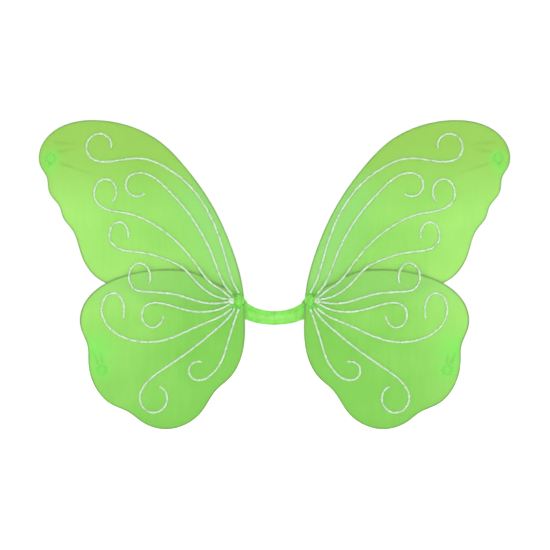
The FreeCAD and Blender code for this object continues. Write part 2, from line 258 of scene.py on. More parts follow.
class Shader:
    """A node material that is put together one node at a time."""

    def __init__(self, name):
        self.material = bpy.data.materials.new(name)
        self.material.use_nodes = True
        self.nodes = self.material.node_tree.nodes
        self.links = self.material.node_tree.links
        self.nodes.clear()

    def add(self, kind, inputs=None, **settings):
        made = self.nodes.new("ShaderNode" + kind)
        for key, value in settings.items():
            setattr(made, key, value)
        for key, value in (inputs or {}).items():
            if isinstance(value, bpy.types.NodeSocket):
                self.links.new(value, made.inputs[key])
            else:
                made.inputs[key].default_value = value
        return made

    def put(self, kind, inputs=None, **settings):
        """Adds a node and gives its first output."""
        return self.add(kind, inputs, **settings).outputs[0]

    def place(self):
        """Position in the frame's own axes."""
        return self.add("TexCoord").outputs["Object"]

    def value(self, label):
        """A number stored at the mesh's points."""
        return self.add("Attribute", attribute_name=label).outputs["Fac"]

    def noise(self, size, detail=3.0, stretch=None):
        """Noise with blotches of about size, between 0 and 1, finer along the axes that stretch raises."""
        place = self.place()
        if stretch is not None:
            place = self.put("VectorMath", {0: place, 1: stretch}, operation="MULTIPLY")
        return self.add("TexNoise", {"Vector": place, "Scale": 1 / size, "Detail": detail}).outputs["Fac"]

    def maths(self, operation, first, second=0.0):
        return self.put("Math", {0: first, 1: second}, operation=operation)

    def ripple(self, axis, pitch):
        """Even waves along an axis, between -1 and 1."""
        along = self.add("SeparateXYZ", {0: self.place()}).outputs[axis]
        return self.maths("SINE", self.maths("MULTIPLY", along, 2 * math.pi / pitch))

    def between(self, value, low, high, start=0.0, end=1.0):
        """value carried from low..high to start..end, and held there."""
        inputs = {"Value": value, "From Min": low, "From Max": high, "To Min": start, "To Max": end}
        return self.add("MapRange", inputs, clamp=True).outputs["Result"]

    def mix(self, share, first, second, way="MIX"):
        """A mix of two colours."""
        made = self.add("Mix", {0: share, 6: first, 7: second}, data_type="RGBA", blend_type=way)
        return made.outputs[2]

    def bump(self, height, distance, strength=1.0):
        inputs = {"Height": height, "Distance": distance, "Strength": strength}
        return self.add("Bump", inputs).outputs["Normal"]

    def solid(self, paint, rough, more, normal=None):
        """Finishes the material as the surface of something solid."""
        inputs = {"Base Color": paint, "Roughness": rough} | more
        if normal is not None:
            inputs["Normal"] = normal
        return self.finish(self.put("BsdfPrincipled", inputs))

    def finish(self, surface):
        output = self.nodes.new("ShaderNodeOutputMaterial")
        self.links.new(surface, output.inputs["Surface"])
        return self.material


def colour(red, green, blue):
    return (red, green, blue, 1.0)


KNIT = 0.42 * MM  # width of one stitch in the nylon's knit


def knit_height(shader):
    """The nylon's fine knit: ribs one way and rows of stitches the other way."""
    return shader.maths("MULTIPLY", shader.ripple("X", KNIT), shader.ripple("Z", KNIT / 0.8))


def sheet_surface(shader, paint, normal, see_through, glow, rough):
    """Thin cloth: it scatters light back and through, has a faint sheen, and lets some straight past."""
    front = shader.put("BsdfDiffuse", {"Color": paint, "Roughness": 0.6, "Normal": normal})
    through = shader.put("BsdfTranslucent", {"Color": paint, "Normal": normal})
    body = shader.put("MixShader", {0: glow, 1: front, 2: through})
    shine = shader.put("BsdfGlossy", {"Color": colour(1, 1, 1), "Roughness": rough, "Normal": normal})
    facing = shader.put("Fresnel", {"IOR": 1.33, "Normal": normal})
    coated = shader.put("MixShader", {0: facing, 1: body, 2: shine})
    return shader.put("MixShader", {0: see_through, 1: coated, 2: shader.put("BsdfTransparent")})


def wing_nylon():
    shader = Shader("wing_nylon")
    deep = colour(0.250, 0.665, 0.092)
    pale = colour(0.475, 0.870, 0.205)
    warm = colour(0.360, 0.650, 0.095)
    haze = colour(0.350, 0.760, 0.210)
    gathered = colour(0.215, 0.900, 0.125)
    crease_shade_olive = colour(0.085, 0.250, 0.028)
    edge_tint = colour(0.235, 0.420, 0.120)
    cloudy = shader.between(shader.noise(0.055, 2.0), 0.35, 0.65, -0.10, 0.10)
    streaks = shader.between(shader.noise(0.004, 2.0, (1.0, 1.0, 0.12)), 0.3, 0.7, -0.05, 0.05)
    # tone gives painted light and shade across each cover, partly the nylon's uneven stretch; cloudy and
    # streaks are its own uneven tone
    tone = shader.maths("ADD", shader.maths("ADD", shader.value("tone"), cloudy), streaks)
    paint = shader.mix(shader.between(tone, 0.0, 1.0), deep, pale)
    # warm and haze are painted light and shade too: darker at the top, paler on the upper's inner side and
    # where the lower overlaps it
    paint = shader.mix(shader.value("warm"), paint, warm)
    paint = shader.mix(shader.value("haze"), paint, haze)
    paint = shader.mix(shader.value("gather"), paint, gathered)
    knit = knit_height(shader)
    stitch = shader.between(knit, -1.0, 1.0, 0.93, 1.07)
    shade = shader.put("CombineColor", {0: stitch, 1: stitch, 2: stitch})
    paint = shader.mix(1.0, paint, shade, "MULTIPLY")
    # painted shade in the folds and creases, partly their extra layers of nylon
    paint = shader.mix(shader.between(shader.value("crease"), 0.0, 1.0, 0.0, 0.45), paint, crease_shade_olive)
    uneven = shader.between(shader.noise(0.018, 2.0), 0.35, 0.65, 0.40, 0.95)
    edge = shader.maths("MULTIPLY", shader.value("edge"), uneven)
    paint = shader.mix(edge, paint, edge_tint)
    layers = shader.maths("ADD", shader.value("gather"), shader.value("crease"))
    see_through = shader.between(layers, 0.0, 1.0, 0.11, 0.03)
    thin = shader.between(knit, -1.0, 1.0, 1.25, 0.75)
    see_through = shader.maths("MULTIPLY", see_through, thin)
    normal = shader.bump(knit, 0.05 * MM, 0.5)
    return shader.finish(sheet_surface(shader, paint, normal, see_through, glow=0.18, rough=0.38))


def soft_nylon():
    """The same nylon in several loose layers: the centre band, the knots and the tails."""
    shader = Shader("soft_nylon")
    dark = colour(0.210, 0.670, 0.085)
    bright = colour(0.350, 0.960, 0.155)
    cloudy = shader.between(shader.noise(0.006, 3.0), 0.3, 0.7, 0.35, 1.0)
    paint = shader.mix(cloudy, dark, bright)
    # pale is painted light: on the ridges of the stem wrap's folds and across the front middle of the band
    pale = colour(0.480, 0.930, 0.240)
    paint = shader.mix(shader.between(shader.value("pale"), 0.0, 1.0, 0.0, 0.7), paint, pale)
    # crease is painted shade: in the folds and grooves of the knots, tails, wrap and band
    paint = shader.mix(shader.between(shader.value("crease"), 0.0, 1.0, 0.0, 0.6), paint, dark)
    knit = knit_height(shader)
    ruck = shader.noise(0.0012, 3.0, (0.35, 1.0, 1.0))
    height = shader.maths("ADD", shader.maths("MULTIPLY", knit, 0.35), ruck)
    normal = shader.bump(height, 0.12 * MM, 0.6)
    return shader.finish(sheet_surface(shader, paint, normal, 0.03, glow=0.25, rough=0.42))


def coated_wire():
    """Steel wire with a dull dark-green coat that is worn in spots."""
    shader = Shader("coated_wire")
    worn = shader.between(shader.noise(0.0015, 4.0), 0.62, 0.75)
    paint = shader.mix(worn, colour(0.07, 0.11, 0.03), colour(0.42, 0.42, 0.38))
    drawn = shader.noise(0.0004, 2.0, (1.0, 1.0, 0.1))
    rough = shader.between(drawn, 0.3, 0.7, 0.35, 0.55)
    metal = shader.maths("MULTIPLY", worn, 0.9)
    return shader.solid(paint, rough, {"Metallic": metal}, shader.bump(drawn, 0.03 * MM))


def glitter_glue():
    """Milky dried glue that is full of silver flakes."""
    shader = Shader("glitter_glue")
    cells = shader.add("TexVoronoi", {"Vector": shader.place(), "Scale": 1 / (0.42 * MM)}, feature="F1")
    tint = shader.add("SeparateColor", {0: cells.outputs["Color"]})
    silver = shader.mix(tint.outputs[0], colour(0.31, 0.57, 0.22), colour(0.73, 0.94, 0.62))
    glint = shader.mix(tint.outputs[1], colour(0.80, 0.66, 0.74), colour(0.56, 0.80, 0.78))
    paint = shader.mix(shader.between(tint.outputs[2], 0.45, 0.9, 0.0, 0.6), silver, glint)
    starved = shader.between(shader.noise(0.0035, 3.0), 0.50, 0.66, 0.0, 0.75)
    paint = shader.mix(starved, paint, colour(0.28, 0.54, 0.19))
    tilt = shader.bump(tint.outputs[0], 0.16 * MM, 0.8)
    rough = shader.between(tint.outputs[1], 0, 1, 0.18, 0.5)
    coat = {"Metallic": 0.35, "Coat Weight": 0.4, "Coat Roughness": 0.15}
    return shader.solid(paint, rough, coat, tilt)


def glitter_flake():
    """A single flake, silver with a tint of its own; the grey flakes are painted shade."""
    shader = Shader("glitter_flake")
    ramp = shader.add("ValToRGB", {0: shader.value("chance")})
    # the last, grey stop is painted shade on some flakes; the others are the flakes' own tints
    stops = ((0.0, colour(0.96, 0.98, 0.93)), (0.26, colour(0.84, 0.97, 0.78)),
             (0.48, colour(0.92, 0.70, 0.82)), (0.60, colour(0.62, 0.88, 0.90)),
             (0.70, colour(0.61, 0.92, 0.49)), (0.86, colour(0.42, 0.48, 0.40)))
    ramp.color_ramp.interpolation = "CONSTANT"
    ramp.color_ramp.elements.remove(ramp.color_ramp.elements[1])
    ramp.color_ramp.elements[0].color = stops[0][1]
    for position, tint in stops[1:]:
        ramp.color_ramp.elements.new(position).color = tint
    rough = shader.between(shader.noise(0.0002, 2.0), 0.3, 0.7, 0.15, 0.35)
    return shader.solid(ramp.outputs[0], rough, {"Metallic": 0.7})


def twisted_thread():
    shader = Shader("twisted_thread")
    fibres = shader.noise(0.00018, 3.0, (1.0, 0.3, 1.0))
    paint = shader.mix(shader.between(fibres, 0.3, 0.7), colour(0.10, 0.36, 0.05), colour(0.28, 0.66, 0.14))
    sheen = {"Sheen Weight": 0.4, "Sheen Roughness": 0.4}
    return shader.solid(paint, 0.55, sheen, shader.bump(fibres, 0.06 * MM))


def stretch_tape():
    """Soft crinkled tape, wound in a spiral."""
    shader = Shader("stretch_tape")
    split = shader.add("SeparateXYZ", {0: shader.place()})
    lap = shader.maths("FRACT", shader.maths("MULTIPLY", split.outputs["Z"], 1 / (2.2 * MM)))
    crinkle = shader.noise(0.0006, 4.0)
    paint = shader.mix(crinkle, colour(0.09, 0.24, 0.05), colour(0.20, 0.42, 0.12))
    paint = shader.mix(shader.between(lap, 0.88, 1.0, 0.0, 0.6), paint, colour(0.05, 0.14, 0.03))
    height = shader.maths("ADD", lap, shader.maths("MULTIPLY", crinkle, 0.5))
    return shader.solid(paint, 0.72, {}, shader.bump(height, 0.12 * MM))


def braided_elastic():
    shader = Shader("braided_elastic")
    fibres = shader.noise(0.00022, 3.0)
    stain = shader.noise(0.012, 2.0)
    woven = shader.between(fibres, 0.25, 0.75)
    paint = shader.mix(woven, colour(0.44, 0.72, 0.36), colour(0.70, 0.92, 0.60))
    paint = shader.mix(shader.between(stain, 0.4, 0.7, 0.0, 0.25), paint, colour(0.50, 0.74, 0.40))
    sheen = {"Sheen Weight": 0.5, "Sheen Roughness": 0.5}
    return shader.solid(paint, 0.68, sheen, shader.bump(fibres, 0.05 * MM))


def woven_elastic():
    """Flat elastic tape: rubber cords along it under a plain weave."""
    shader = Shader("woven_elastic")
    cords = shader.ripple("Z", 0.9 * MM)
    picks = shader.ripple("X", 0.5 * MM)
    weave = shader.maths("ADD", cords, shader.maths("MULTIPLY", picks, 0.5))
    paint = shader.mix(shader.between(weave, -1.5, 1.5), colour(0.42, 0.70, 0.34), colour(0.70, 0.92, 0.60))
    return shader.solid(paint, 0.65, {"Sheen Weight": 0.4}, shader.bump(weave, 0.10 * MM))


def clear_glue():
    shader = Shader("clear_glue")
    bubbles = shader.noise(0.0005, 3.0)
    paint = shader.mix(bubbles, colour(0.52, 0.62, 0.44), colour(0.82, 0.86, 0.76))
    rough = shader.between(bubbles, 0.3, 0.7, 0.12, 0.3)
    depth = {"Subsurface Weight": 0.3, "Subsurface Radius": (MM, MM, MM), "Coat Weight": 0.5}
    return shader.solid(paint, rough, depth, shader.bump(bubbles, 0.08 * MM))


# ---- nylon covers

RAYS = 420  # lines from the root to the rim
RAY_ROWS = 88  # rows of points between the root and the rim, on each skin
ROW_CROWDING = 1.6  # power by which the rows crowd together towards the rim
RIM_ROWS = 7  # rows that carry the nylon round the wire
TAIL_CROWDING = 1.4  # how much closer together the rays are near a tail
TAIL_REACH = 14 * MM  # and how far from it that goes
START_R = 3.0 * MM  # the skins start inside the root knot
TOUCH = 0.01 * MM  # points this close to a plane lie on it
FRONT_SINK = 0.15 * MM  # how far each skin hangs in from the wire's own thickness
BACK_SINK = 0.45 * MM
SINK_REACH = 5 * MM  # distance from the rim over which a skin sinks in
FOLD_MARGIN = 2.5 * MM  # the folds fade out this close to the rim
FOLD_LOW = -0.4 * MM
FOLD_HIGH = 0.5 * MM
HELD_HIGH = 0.05 * MM  # highest fold on a skin that lies against its neighbour
EDGE_BAND = 0.6 * MM  # width of the dark edge on the skins, next to the rim
BATCH = 4000  # points whose distances are worked out together
KNOT_EDGE = 1.03  # the rim's own line starts this far out, as a share of the knot's size
KNOT_STEP = 0.5 * MM  # steps that carry it on into the knot, and the most of them
KNOT_STEPS = 20


def knot_share(points):
    """Distance of (x, z) points from the knot's middle, where 1 is the knot's own edge."""
    away = (points - flat(KNOT)) / flat(KNOT_R)
    return np.hypot(away[..., 0], away[..., 1])


def cover_border(node):
    """Edge of the cover's flat front face in order round the root, and how far in from the rim it is."""
    points = points_of(node)
    front = points[:, Y].min()
    edge = flat(points[points[:, Y] < front + TOUCH])
    edge = np.unique(np.round(edge, 6), axis=0)
    edge = edge[knot_share(edge) > KNOT_EDGE]
    away = edge - flat(KNOT)
    edge = edge[np.argsort(np.arctan2(away[:, 1], away[:, 0]))]
    rounding = points[:, X].max() - edge[:, 0].max()
    return np.vstack([into_knot(edge[1], edge[0])[::-1], edge, into_knot(edge[-2], edge[-1])]), rounding


def into_knot(before, last):
    """Points that carry an edge straight on past its last point, up to the root knot."""
    step = (last - before) / np.linalg.norm(last - before) * KNOT_STEP
    line = []
    here = last + step
    while knot_share(here) > 1.0 and len(line) < KNOT_STEPS:
        line.append(here)
        here = here + step
    return np.array(line).reshape(-1, 2)


def rim_line(node, tail):
    """The wire's line inside the cover as (x, z) points, closer together near the tail, and its normals."""
    edge, rounding = cover_border(node)
    steps = lengths(np.diff(edge, axis=0))
    near = lengths((edge[1:] + edge[:-1]) / 2 - flat(tail))
    line = resample(edge, steps * (1 + TAIL_CROWDING * np.exp(-(near / TAIL_REACH) ** 2)), RAYS)
    tangent = np.gradient(line, axis=0)
    for _ in range(2):
        tangent[1:-1] = (tangent[:-2] + tangent[1:-1] * 2 + tangent[2:]) / 4
    tangent /= lengths(tangent)[:, None]
    normal = np.stack([tangent[:, 1], -tangent[:, 0]], axis=1)
    hug = half_of(node)[Y]
    return line - normal * (hug - rounding), normal, hug


def nearest(points, line):
    """Distance from each (x, z) point to the closest point of a line."""
    found = np.empty(len(points))
    for start in range(0, len(points), BATCH):
        part = points[start:start + BATCH]
        found[start:start + BATCH] = np.sqrt(((part[:, None] - line[None]) ** 2).sum(-1)).min(1)
    return found


def wave(angle, counts, seed):
    """An uneven wave round a centre, between about -1 and 1."""
    chance = np.random.RandomState(seed)
    total = np.zeros_like(angle)
    for count in counts:
        total += np.sin(angle * count + chance.uniform(0, 2 * math.pi))
    return total / len(counts)


def fold_line(points, start, end, width):
    """One long crease between two points: 1 on its line, fading along it and away from it."""
    run = end - start
    length = np.linalg.norm(run)
    along = ((points - start) @ run) / length ** 2
    off = np.abs((points - start) @ np.array([-run[1], run[0]]) / length)
    fade = smoothstep(along / 0.12) * smoothstep((1 - along) / 0.75)
    return fade * np.exp(-(off / width) ** 2)


ROOT_GATHERS = (17, 29, 41)  # folds round the root, as counts per full turn
TAIL_GATHERS = (9, 14, 19)
ROOT_FADE = 13 * MM  # how far the folds reach from the root, and from a tail
TAIL_FADE = 7 * MM
ROSETTE_R = 4.4 * MM  # ring of painted shade on the pleats round a tail, and its width
ROSETTE_WIDE = 1.7 * MM
THICK_ROOT = 11 * MM  # how far the nylon lies thick round the root, and round a tail
THICK_TAIL = 8 * MM
CREASE_WIDE = 1.3 * MM
UPPER_FOLDS = [  # long creases on the upper cover, from the tail: start, end, in mm
    ((-5.0, 6.5), (-32.0, 10.8)),
    ((-1.0, 16.6), (-36.0, 13.6)),
    ((-6.0, -3.6), (-54.0, -20.0)),
    ((0.0, -4.0), (4.5, -13.0)),
]
LOWER_FOLDS = [
    ((3.0, 5.0), (12.0, 25.0)),
    ((-1.0, 6.0), (2.0, 22.0)),
]
UPPER_BUNCH = ((1.5, -9.0), 7.0)  # where a cover is bunched up beside its tail, and how far round, in mm
LOWER_BUNCH = ((8.0, 19.0), 17.0)


def cover_folds(points, tail, folds, bunch, seed):
    """Gathers at the root and the tail: height of the folds, their painted shade (partly the extra layers
    of gathered nylon), and how thick the nylon is.
    """
    from_root = points - flat(KNOT)
    root_d = lengths(from_root)
    root_wave = wave(np.arctan2(from_root[:, 1], from_root[:, 0]), ROOT_GATHERS, seed)
    root_fade = np.exp(-root_d / ROOT_FADE)
    from_tail = points - flat(tail)
    tail_d = lengths(from_tail)
    tail_wave = wave(np.arctan2(from_tail[:, 1], from_tail[:, 0]), TAIL_GATHERS, seed + 1)
    tail_fade = np.exp(-(tail_d / TAIL_FADE) ** 2)
    long_folds = np.zeros(len(points))
    for start, end in folds:
        first = flat(tail) + np.array(start) * MM
        last = flat(tail) + np.array(end) * MM
        long_folds = np.maximum(long_folds, fold_line(points, first, last, CREASE_WIDE))
    height = 0.9 * root_fade * root_wave + 0.35 * tail_fade * tail_wave + 0.30 * long_folds
    rosette = np.exp(-((tail_d - ROSETTE_R) / ROSETTE_WIDE) ** 2)
    # painted shade on the folds round the root, on the rosette and along the long creases, partly the extra
    # layers of gathered nylon
    dark = root_fade * np.clip(root_wave, 0, 1) * 1.4
    dark = dark + rosette * np.clip(0.40 + 0.7 * tail_wave, 0, 1) + 0.45 * long_folds
    bunch_d = lengths(points - flat(tail) - np.array(bunch[0]) * MM)
    thick = 0.75 * np.exp(-(root_d / THICK_ROOT) ** 2) + 0.80 * np.exp(-(tail_d / THICK_TAIL) ** 2)
    thick = thick - 0.45 * np.exp(-(tail_d / (2 * MM)) ** 2)
    thick = np.maximum(thick, 0.55 * np.exp(-(bunch_d / (bunch[1] * MM)) ** 2))
    return height * MM, np.clip(dark, 0, 1), np.clip(thick, 0, 1)


def upper_light_and_tint(points):
    """Painted light and shade, partly the nylon's uneven stretch: the upper cover is palest along its lower
    outer edge, darker and warm along its top and hazy on the inside.
    """
    out, up = ((points - flat(KNOT)) / MM).T
    tone = 0.42 + 0.0032 * (out - 74)
    tone = tone - 0.0050 * np.clip(up - 92, 0, None) + 0.0022 * np.clip(68 - up, 0, None)
    inner_edge = (out - 0.42 * up + 6) / 30
    haze = 0.75 * np.exp(-inner_edge ** 2) * smoothstep(up / 30) * smoothstep((150 - up) / 60)
    return {"tone": tone, "warm": 0.85 * smoothstep((up - 80) / 90), "haze": haze}


def lower_light_and_tint(points):
    """Painted light and shade, partly the nylon's uneven stretch: the lower cover is palest at its outer
    top, deepest at the bottom, and hazy where it overlaps.
    """
    out, up = ((points - flat(KNOT)) / MM).T
    tone = 0.24 + 0.0040 * (out - 74) + 0.0026 * (up + 22)
    haze = 0.40 * smoothstep((up + 12) / 25)
    return {"tone": tone, "warm": np.zeros(len(points)), "haze": haze}


def cover_shape(node, tail, folds, bunch, light_and_tint_of, edge_strength, held, seed):
    """A closed nylon bag round a wire loop: both skins, and the rim that hugs the wire.

    held says for the front and for the back skin whether it lies against a neighbour, without folds.
    """
    rim, normal, hug = rim_line(node, tail)
    middle = middle_of(node)[Y]
    root = flat(KNOT)
    reach = lengths(rim - root)
    first = START_R / reach
    share = 1 - (1 - np.linspace(0, 1, RAY_ROWS)) ** ROW_CROWDING
    along = first[:, None] + (1 - first)[:, None] * share[None]
    sheet = root + (rim - root)[:, None] * along[..., None]
    spots = sheet.reshape(-1, 2)
    height, dark, thick = cover_folds(spots, tail, folds, bunch, seed)
    gap = nearest(spots, rim)
    skins = []
    for side, sink, against in ((-1, FRONT_SINK, held[0]), (1, BACK_SINK, held[1])):
        highest = HELD_HIGH if against else FOLD_HIGH
        lift = np.clip(height, FOLD_LOW, highest) * smoothstep(gap / FOLD_MARGIN)
        depth = middle + side * (hug - sink * smoothstep(gap / SINK_REACH) + lift)
        skins.append(np.stack([spots[:, 0], depth, spots[:, 1]], axis=1).reshape(RAYS, RAY_ROWS, 3))
    turn = np.linspace(-math.pi / 2, math.pi / 2, RIM_ROWS + 2)[1:-1]
    out = rim[:, None] + normal[:, None] * (hug * np.cos(turn))[None, :, None]
    deep = np.broadcast_to(middle + hug * np.sin(turn), (RAYS, RIM_ROWS))
    wrap = np.stack([out[..., 0], deep, out[..., 1]], axis=-1)
    points = np.concatenate([skins[0], wrap, skins[1][:, ::-1]], axis=1)
    rows = points.shape[1]
    faces = grid_faces(RAYS, rows, close_columns=True)
    # the two skins are joined along the first ray and along the last one
    for ray, back in ((0, False), (RAYS - 1, True)):
        for step in range(RAY_ROWS - 1 + RIM_ROWS // 2):
            a, b = ray * rows + step, ray * rows + step + 1
            c, d = ray * rows + rows - 2 - step, ray * rows + rows - 1 - step
            ring = [a, b, c, d] if b != c else [a, b, d]
            faces.append(ring[::-1] if back else ring)

    def whole(skin_values, rim_value=0.0):
        grid = skin_values.reshape(RAYS, RAY_ROWS)
        rim_grid = np.full((RAYS, RIM_ROWS), rim_value)
        return np.concatenate([grid, rim_grid, grid[:, ::-1]], axis=1).ravel()

    # tone, warm and haze are painted light and shade over the cover, partly the nylon's uneven stretch
    values = {label: whole(numbers) for label, numbers in light_and_tint_of(spots).items()}
    values["gather"] = whole(thick)
    # painted shade in the folds
    values["crease"] = whole(dark)
    values["edge"] = whole(np.exp(-(gap / EDGE_BAND) ** 2), 1.0) * edge_strength
    return (points.reshape(-1, 3), faces), values


def build_covers(nylon):
    covers = {
        "upper": cover_shape("right_upper_nylon", UPPER_TAIL, UPPER_FOLDS, UPPER_BUNCH,
                             upper_light_and_tint, edge_strength=0.75, held=(True, False), seed=SEED),
        "lower": cover_shape("right_lower_nylon", LOWER_TAIL, LOWER_FOLDS, LOWER_BUNCH,
                             lower_light_and_tint, edge_strength=1.0, held=(False, True), seed=SEED + 10),
    }
    for level, (shape, values) in covers.items():
        add_pair(f"{level}_cover", shape, nylon, f"{level}_nylon", values=values)


# ---- root knots and tails


def knot_shape():
    """A tight nylon knot: folds run over it lengthways, and one wrap pulls it in."""
    rows, columns = 56, 96
    pole = np.linspace(0, math.pi, rows)[:, None]
    turn = full_turn(columns)[None]
    swirl = turn + 0.9 * np.cos(pole)
    folds = 0.10 * np.abs(np.sin(3.5 * swirl + 0.4)) ** 0.6 + 0.05 * np.sin(9 * swirl + 1.3)
    wrap = 0.13 * np.exp(-((pole - 1.05) / 0.16) ** 2) + 0.09 * np.exp(-((pole - 2.1) / 0.13) ** 2)
    size = 0.90 + folds - wrap
    across = np.sin(pole) * size
    x = KNOT[X] + KNOT_R[X] * np.cos(pole) * (0.96 + 0.04 * np.cos(3 * turn))
    y = KNOT[Y] + KNOT_R[Y] * across * np.cos(turn)
    z = KNOT[Z] + KNOT_R[Z] * across * np.sin(turn)
    points = np.stack([x, y, z], axis=-1).reshape(-1, 3)
    faces = grid_faces(rows, columns, close_columns=True)
    # painted shade in the grooves between the folds and where the wrap pulls in
    groove_shade = np.clip((0.07 - folds) / 0.1, 0, 1) + wrap / 0.13
    values = {"crease": np.clip(groove_shade, 0, 1).ravel(), "pale": np.zeros(rows * columns)}
    return (points, turned(faces)), values


def wrap_shape():
    """Gathered nylon round the wire between the stem and the root knot."""
    columns = 72
    wire = points_of("right_upper_wire")
    knot_left = KNOT[X] - KNOT_R[X]
    top = np.array([STEM[X], STEM[Y], box_of("right_stem_tape")[1][Z]])
    line = [top - np.array([0, 0, 0.8 * MM])]
    # the wire's middle at a few heights above the tape, in mm
    for height in (0.8, 2.2, 3.6, 5.0, 6.4):
        level = top[Z] + height * MM
        near = wire[(np.abs(wire[:, Z] - level) < 0.35 * MM) & (wire[:, X] < knot_left + 3.5 * MM)]
        line.append(near.mean(0))
    line = even_line(spline(np.array(line), 12), 0.16 * MM)
    share = np.linspace(0, 1, len(line))[:, None]
    turn = full_turn(columns)
    fold = np.abs(np.sin(3.5 * turn + 1.8 * share)) ** 0.7
    size = (1.05 + 0.45 * smoothstep(share * 1.3)) * (0.84 + 0.22 * fold) * MM
    size = size * (1 - 0.45 * smoothstep((0.08 - share) / 0.08))
    points = line[:, None] + rings(*frames_along(line), turn) * size[..., None]
    # painted shade between the folds and painted light on their ridges
    values = {"crease": np.clip(0.75 - fold, 0, 1).ravel(), "pale": np.clip(fold - 0.6, 0, 1).ravel()}
    return (points.reshape(-1, 3), tube_faces(len(line), columns)), values


def tail_shape(node):
    """A gathered end: a pleated neck under the thread, then a ruffled frill like a small flower."""
    centre, half = middle_of(node), half_of(node)
    length = half[Y] * 2
    head = half[X]
    neck = head / 2
    outer = [(neck, 0.0), (neck * 0.92, 0.20), (neck * 0.92, 0.38), (head * 0.62, 0.52),
             (head * 0.90, 0.72), (head, 0.90), (head * 0.95, 1.0)]
    inner = [(head * 0.84, 0.97), (head * 0.66, 0.80), (head * 0.40, 0.66), (head * 0.12, 0.60)]
    profile = spline(np.array([(r, 0.0, t * length) for r, t in outer + inner]), 5)
    radius, rise = profile[:, 0][:, None], profile[:, 2][:, None]
    columns = 120
    turn = full_turn(columns)[None]
    open_share = smoothstep((rise / length - 0.35) / 0.5)
    ruffle = 0.17 * np.sin(8 * turn + 0.5) + 0.08 * np.sin(13 * turn + 2.0)
    pleat = 0.05 * np.sin(19 * turn)
    across = radius * (1 + ruffle * open_share + pleat * (1 - open_share) - 0.12)
    flop = rise + 0.06 * length * open_share * np.sin(5 * turn + 1.0) - 0.06 * length * open_share
    x = centre[X] + across * np.cos(turn)
    z = centre[Z] + across * np.sin(turn)
    y = box_of(node)[0][Y] + flop
    points = np.stack([x, y, z], axis=-1)
    rows = len(points)
    # painted shade in the frill's troughs and between the neck's pleats
    dark = np.clip(0.5 - ruffle * 3, 0, 1) * open_share * 0.8
    dark = dark + (1 - open_share) * np.clip(-pleat * 15, 0, 1)
    values = {"crease": dark.ravel(), "pale": np.zeros(rows * columns)}
    return (points.reshape(-1, 3), tube_faces(rows, columns)), values


def coil(centre, axis, radius, thread_r, turns, pitch):
    """Two-ply twisted thread wound round an axis."""
    axis = np.asarray(axis, float)
    across = np.array([axis[2], axis[0], axis[1]])
    third = np.cross(axis, across)
    steps = int(turns * 40)
    turn = np.linspace(0, turns * 2 * math.pi, steps)[:, None]
    rise = (turn / (2 * math.pi) - turns / 2) * pitch
    line = centre + (across * np.cos(turn) + third * np.sin(turn)) * radius + axis * rise
    normal, binormal = frames_along(line)
    plies = []
    for start in (0.0, math.pi):
        twist = turn * 6 + start
        ply = line + (normal * np.cos(twist) + binormal * np.sin(twist)) * thread_r * 0.45
        plies.append(tube(ply, thread_r * 0.55, 8))
    return join_shapes(plies)


def tie_shape(node):
    """Turns of thread round a tail's neck."""
    half = half_of(node)
    thread_r = half[Y] / 2
    return coil(middle_of(node), (0, 1, 0), half[X] - thread_r, thread_r, 2.4, 2 * thread_r * 0.8)


def build_knots(cloth, thread):
    knot, values = knot_shape()
    add_pair("knot", knot, cloth, "root_knot", values=values)
    wrap, values = wrap_shape()
    add_pair("stem_wrap", wrap, cloth, None, values=values)
    for level in ("upper", "lower"):
        frill, values = tail_shape(f"right_{level}_tail")
        add_pair(f"{level}_frill", frill, cloth, f"{level}_tail", values=values)
        tie = tie_shape(f"right_{level}_tie")
        add_pair(f"{level}_tie_thread", tie, thread, f"{level}_tie")


# ---- centre band

BAND_COLUMNS = 96  # points round the band
BAND_ROWS = 74  # rows of points from the middle to the end
BAND_SEAM = -0.5 * MM  # the two halves of the band run a little into each other
FLAP_END = 32.0 * MM  # where the band's front layer ends, behind the wing's inner edge
CLOTH = 0.45 * MM  # thickness of the band's doubled nylon
FORWARD = 2.6 * MM  # how far the front layer moves forward to pass in front of the stem
FORWARD_START = 19 * MM  # where along the band that starts, and how long it takes
FORWARD_LONG = 8 * MM
FLARE_START = 18 * MM  # the same for its widening towards the end
FLARE_LONG = 11 * MM
PINCH_REACH = 1.6 * MM  # how far the seam in the middle pinches the band, each way
STITCH_PULL = 0.20 * MM  # how far the stitches pull the back in, and how far along that goes
STITCH_REACH = 1.3 * MM
FULL_WIDTH = 10 * MM  # where the sleeve has points on both of its edges, they are at least this far apart


def sleeve_edges():
    """The CAD sleeve's top and bottom edges as (x, z) lines from the middle outwards."""
    points = points_of("centre_sleeve")
    points = points[(points[:, X] >= 0) & (points[:, Y] < SLEEVE_LOW[Y] + TOUCH)]
    stations = np.unique(np.round(points[:, X], 5))
    top, bottom = [], []
    for x in stations:
        z = points[np.abs(points[:, X] - x) < 2 * TOUCH][:, Z]
        if z.max() - z.min() > FULL_WIDTH:
            top.append((x, z.max()))
            bottom.append((x, z.min()))
    return np.array(top), np.array(bottom)


